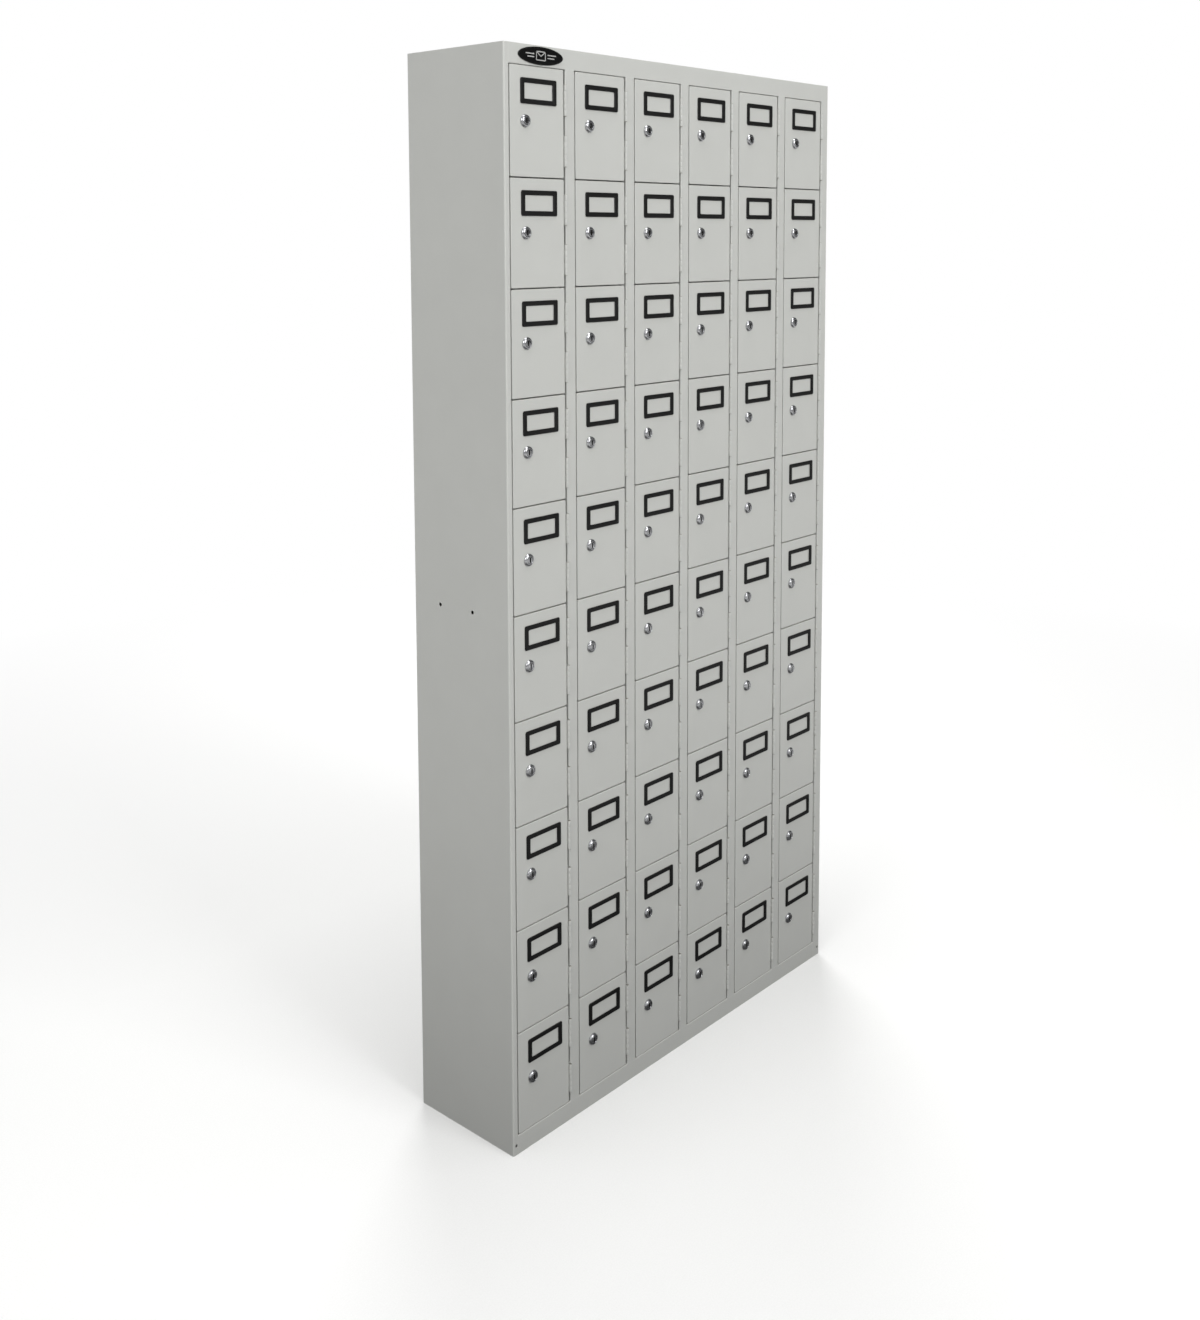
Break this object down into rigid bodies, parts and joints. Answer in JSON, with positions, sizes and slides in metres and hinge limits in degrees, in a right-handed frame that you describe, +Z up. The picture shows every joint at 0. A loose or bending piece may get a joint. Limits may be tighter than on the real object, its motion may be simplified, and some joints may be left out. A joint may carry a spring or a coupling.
{
  "type": "parcel locker",
  "caption": "Tall shallow steel locker of small lockable parcel and mail compartments, each with an inset hinged door, a card holder and a cam lock.",
  "frame": {"origin": "centre of the base's underside, on the floor", "axes": "+X to the locker's right seen from the front, +Y from the doors to the back, +Z up"},
  "size_m": [0.9, 0.2297, 1.8],
  "materials": {
    "grey_paint": "light grey powder coat, satin",
    "steel_pin": "zinc-plated steel",
    "chrome": "bright chrome",
    "black_badge": "black, semi-gloss"
  },
  "bodies": {
    "carcass": {"left_side_panel": "grey_paint", "right_side_panel": "grey_paint", "top_panel": "grey_paint", "base_panel": "grey_paint", "back_panel": "grey_paint", "top_rail": "grey_paint", "bottom_rail": "grey_paint", "middle_stiles": "grey_paint", "column_dividers": "grey_paint", "shelves": "grey_paint", "hinge_leaves_on_frame": "grey_paint", "hinge_pins": "steel_pin", "badge_plate": "black_badge"},
    "door_a01": {"door_a01": "grey_paint"},
    "lock_plug_a01": {"lock_plug_a01": "chrome"},
    "door_a02": {"door_a02": "grey_paint"},
    "lock_plug_a02": {"lock_plug_a02": "chrome"},
    "door_a03": {"door_a03": "grey_paint"},
    "lock_plug_a03": {"lock_plug_a03": "chrome"},
    "door_a04": {"door_a04": "grey_paint"},
    "lock_plug_a04": {"lock_plug_a04": "chrome"},
    "door_a05": {"door_a05": "grey_paint"},
    "lock_plug_a05": {"lock_plug_a05": "chrome"},
    "door_a06": {"door_a06": "grey_paint"},
    "door_a07": {"door_a07": "grey_paint"},
    "door_a08": {"door_a08": "grey_paint"},
    "door_a09": {"door_a09": "grey_paint"},
    "door_a10": {"door_a10": "grey_paint"},
    "door_b01": {"door_b01": "grey_paint"},
    "door_b02": {"door_b02": "grey_paint"},
    "door_b03": {"door_b03": "grey_paint"},
    "door_b04": {"door_b04": "grey_paint"},
    "door_b05": {"door_b05": "grey_paint"},
    "door_b06": {"door_b06": "grey_paint"},
    "door_b07": {"door_b07": "grey_paint"},
    "door_b08": {"door_b08": "grey_paint"},
    "door_b09": {"door_b09": "grey_paint"},
    "door_b10": {"door_b10": "grey_paint"},
    "door_c01": {"door_c01": "grey_paint"},
    "door_c02": {"door_c02": "grey_paint"},
    "door_c03": {"door_c03": "grey_paint"},
    "door_c04": {"door_c04": "grey_paint"},
    "door_c05": {"door_c05": "grey_paint"},
    "door_c06": {"door_c06": "grey_paint"},
    "door_c07": {"door_c07": "grey_paint"},
    "door_c08": {"door_c08": "grey_paint"},
    "door_c09": {"door_c09": "grey_paint"},
    "door_c10": {"door_c10": "grey_paint"},
    "door_d01": {"door_d01": "grey_paint"},
    "door_d02": {"door_d02": "grey_paint"},
    "door_d03": {"door_d03": "grey_paint"},
    "door_d04": {"door_d04": "grey_paint"},
    "door_d05": {"door_d05": "grey_paint"},
    "door_d06": {"door_d06": "grey_paint"},
    "door_d07": {"door_d07": "grey_paint"},
    "door_d08": {"door_d08": "grey_paint"},
    "door_d09": {"door_d09": "grey_paint"},
    "door_d10": {"door_d10": "grey_paint"},
    "doors_column_e": {"doors_column_e": "grey_paint"},
    "doors_column_f": {"doors_column_f": "grey_paint"}
  },
  "joints": [
    {"name": "door_a01_hinge", "type": "hinge", "parent": "carcass", "child": "door_a01", "pos_m": [-0.315, -0.1145, 1.6812], "axis": [0, 0, 1], "range_deg": [0, 110]},
    {"name": "door_a01_lock", "type": "hinge", "parent": "door_a01", "child": "lock_plug_a01", "pos_m": [-0.4046, -0.1125, 1.6818], "axis": [0, 1, 0], "range_deg": [0, 90]},
    {"name": "door_a02_hinge", "type": "hinge", "parent": "carcass", "child": "door_a02", "pos_m": [-0.315, -0.1145, 1.5076], "axis": [0, 0, 1], "range_deg": [0, 110]},
    {"name": "door_a02_lock", "type": "hinge", "parent": "door_a02", "child": "lock_plug_a02", "pos_m": [-0.4046, -0.1125, 1.5082], "axis": [0, 1, 0], "range_deg": [0, 90]},
    {"name": "door_a03_hinge", "type": "hinge", "parent": "carcass", "child": "door_a03", "pos_m": [-0.315, -0.1145, 1.334], "axis": [0, 0, 1], "range_deg": [0, 110]},
    {"name": "door_a03_lock", "type": "hinge", "parent": "door_a03", "child": "lock_plug_a03", "pos_m": [-0.4046, -0.1125, 1.3346], "axis": [0, 1, 0], "range_deg": [0, 90]},
    {"name": "door_a04_hinge", "type": "hinge", "parent": "carcass", "child": "door_a04", "pos_m": [-0.315, -0.1145, 1.1604], "axis": [0, 0, 1], "range_deg": [0, 110]},
    {"name": "door_a04_lock", "type": "hinge", "parent": "door_a04", "child": "lock_plug_a04", "pos_m": [-0.4046, -0.1125, 1.161], "axis": [0, 1, 0], "range_deg": [0, 90]},
    {"name": "door_a05_hinge", "type": "hinge", "parent": "carcass", "child": "door_a05", "pos_m": [-0.315, -0.1145, 0.9868], "axis": [0, 0, 1], "range_deg": [0, 110]},
    {"name": "door_a05_lock", "type": "hinge", "parent": "door_a05", "child": "lock_plug_a05", "pos_m": [-0.4046, -0.1125, 0.9874], "axis": [0, 1, 0], "range_deg": [0, 90]},
    {"name": "door_a06_hinge", "type": "hinge", "parent": "carcass", "child": "door_a06", "pos_m": [-0.315, -0.1145, 0.8132], "axis": [0, 0, 1], "range_deg": [0, 110]},
    {"name": "door_a07_hinge", "type": "hinge", "parent": "carcass", "child": "door_a07", "pos_m": [-0.315, -0.1145, 0.6396], "axis": [0, 0, 1], "range_deg": [0, 110]},
    {"name": "door_a08_hinge", "type": "hinge", "parent": "carcass", "child": "door_a08", "pos_m": [-0.315, -0.1145, 0.466], "axis": [0, 0, 1], "range_deg": [0, 110]},
    {"name": "door_a09_hinge", "type": "hinge", "parent": "carcass", "child": "door_a09", "pos_m": [-0.315, -0.1145, 0.2924], "axis": [0, 0, 1], "range_deg": [0, 110]},
    {"name": "door_a10_hinge", "type": "hinge", "parent": "carcass", "child": "door_a10", "pos_m": [-0.315, -0.1145, 0.1188], "axis": [0, 0, 1], "range_deg": [0, 110]},
    {"name": "door_b01_hinge", "type": "hinge", "parent": "carcass", "child": "door_b01", "pos_m": [-0.167, -0.1145, 1.6812], "axis": [0, 0, 1], "range_deg": [0, 110]},
    {"name": "door_b02_hinge", "type": "hinge", "parent": "carcass", "child": "door_b02", "pos_m": [-0.167, -0.1145, 1.5076], "axis": [0, 0, 1], "range_deg": [0, 110]},
    {"name": "door_b03_hinge", "type": "hinge", "parent": "carcass", "child": "door_b03", "pos_m": [-0.167, -0.1145, 1.334], "axis": [0, 0, 1], "range_deg": [0, 110]},
    {"name": "door_b04_hinge", "type": "hinge", "parent": "carcass", "child": "door_b04", "pos_m": [-0.167, -0.1145, 1.1604], "axis": [0, 0, 1], "range_deg": [0, 110]},
    {"name": "door_b05_hinge", "type": "hinge", "parent": "carcass", "child": "door_b05", "pos_m": [-0.167, -0.1145, 0.9868], "axis": [0, 0, 1], "range_deg": [0, 110]},
    {"name": "door_b06_hinge", "type": "hinge", "parent": "carcass", "child": "door_b06", "pos_m": [-0.167, -0.1145, 0.8132], "axis": [0, 0, 1], "range_deg": [0, 110]},
    {"name": "door_b07_hinge", "type": "hinge", "parent": "carcass", "child": "door_b07", "pos_m": [-0.167, -0.1145, 0.6396], "axis": [0, 0, 1], "range_deg": [0, 110]},
    {"name": "door_b08_hinge", "type": "hinge", "parent": "carcass", "child": "door_b08", "pos_m": [-0.167, -0.1145, 0.466], "axis": [0, 0, 1], "range_deg": [0, 110]},
    {"name": "door_b09_hinge", "type": "hinge", "parent": "carcass", "child": "door_b09", "pos_m": [-0.167, -0.1145, 0.2924], "axis": [0, 0, 1], "range_deg": [0, 110]},
    {"name": "door_b10_hinge", "type": "hinge", "parent": "carcass", "child": "door_b10", "pos_m": [-0.167, -0.1145, 0.1188], "axis": [0, 0, 1], "range_deg": [0, 110]},
    {"name": "door_c01_hinge", "type": "hinge", "parent": "carcass", "child": "door_c01", "pos_m": [-0.019, -0.1145, 1.6812], "axis": [0, 0, 1], "range_deg": [0, 110]},
    {"name": "door_c02_hinge", "type": "hinge", "parent": "carcass", "child": "door_c02", "pos_m": [-0.019, -0.1145, 1.5076], "axis": [0, 0, 1], "range_deg": [0, 110]},
    {"name": "door_c03_hinge", "type": "hinge", "parent": "carcass", "child": "door_c03", "pos_m": [-0.019, -0.1145, 1.334], "axis": [0, 0, 1], "range_deg": [0, 110]},
    {"name": "door_c04_hinge", "type": "hinge", "parent": "carcass", "child": "door_c04", "pos_m": [-0.019, -0.1145, 1.1604], "axis": [0, 0, 1], "range_deg": [0, 110]},
    {"name": "door_c05_hinge", "type": "hinge", "parent": "carcass", "child": "door_c05", "pos_m": [-0.019, -0.1145, 0.9868], "axis": [0, 0, 1], "range_deg": [0, 110]},
    {"name": "door_c06_hinge", "type": "hinge", "parent": "carcass", "child": "door_c06", "pos_m": [-0.019, -0.1145, 0.8132], "axis": [0, 0, 1], "range_deg": [0, 110]},
    {"name": "door_c07_hinge", "type": "hinge", "parent": "carcass", "child": "door_c07", "pos_m": [-0.019, -0.1145, 0.6396], "axis": [0, 0, 1], "range_deg": [0, 110]},
    {"name": "door_c08_hinge", "type": "hinge", "parent": "carcass", "child": "door_c08", "pos_m": [-0.019, -0.1145, 0.466], "axis": [0, 0, 1], "range_deg": [0, 110]},
    {"name": "door_c09_hinge", "type": "hinge", "parent": "carcass", "child": "door_c09", "pos_m": [-0.019, -0.1145, 0.2924], "axis": [0, 0, 1], "range_deg": [0, 110]},
    {"name": "door_c10_hinge", "type": "hinge", "parent": "carcass", "child": "door_c10", "pos_m": [-0.019, -0.1145, 0.1188], "axis": [0, 0, 1], "range_deg": [0, 110]},
    {"name": "door_d01_hinge", "type": "hinge", "parent": "carcass", "child": "door_d01", "pos_m": [0.129, -0.1145, 1.6812], "axis": [0, 0, 1], "range_deg": [0, 110]},
    {"name": "door_d02_hinge", "type": "hinge", "parent": "carcass", "child": "door_d02", "pos_m": [0.129, -0.1145, 1.5076], "axis": [0, 0, 1], "range_deg": [0, 110]},
    {"name": "door_d03_hinge", "type": "hinge", "parent": "carcass", "child": "door_d03", "pos_m": [0.129, -0.1145, 1.334], "axis": [0, 0, 1], "range_deg": [0, 110]},
    {"name": "door_d04_hinge", "type": "hinge", "parent": "carcass", "child": "door_d04", "pos_m": [0.129, -0.1145, 1.1604], "axis": [0, 0, 1], "range_deg": [0, 110]},
    {"name": "door_d05_hinge", "type": "hinge", "parent": "carcass", "child": "door_d05", "pos_m": [0.129, -0.1145, 0.9868], "axis": [0, 0, 1], "range_deg": [0, 110]},
    {"name": "door_d06_hinge", "type": "hinge", "parent": "carcass", "child": "door_d06", "pos_m": [0.129, -0.1145, 0.8132], "axis": [0, 0, 1], "range_deg": [0, 110]},
    {"name": "door_d07_hinge", "type": "hinge", "parent": "carcass", "child": "door_d07", "pos_m": [0.129, -0.1145, 0.6396], "axis": [0, 0, 1], "range_deg": [0, 110]},
    {"name": "door_d08_hinge", "type": "hinge", "parent": "carcass", "child": "door_d08", "pos_m": [0.129, -0.1145, 0.466], "axis": [0, 0, 1], "range_deg": [0, 110]},
    {"name": "door_d09_hinge", "type": "hinge", "parent": "carcass", "child": "door_d09", "pos_m": [0.129, -0.1145, 0.2924], "axis": [0, 0, 1], "range_deg": [0, 110]},
    {"name": "door_d10_hinge", "type": "hinge", "parent": "carcass", "child": "door_d10", "pos_m": [0.129, -0.1145, 0.1188], "axis": [0, 0, 1], "range_deg": [0, 110]},
    {"name": "doors_column_e_hinge", "type": "hinge", "parent": "carcass", "child": "doors_column_e", "pos_m": [0.277, -0.1145, 0.9], "axis": [0, 0, 1], "range_deg": [0, 110]},
    {"name": "doors_column_f_hinge", "type": "hinge", "parent": "carcass", "child": "doors_column_f", "pos_m": [0.425, -0.1145, 0.9], "axis": [0, 0, 1], "range_deg": [0, 110]}
  ]
}
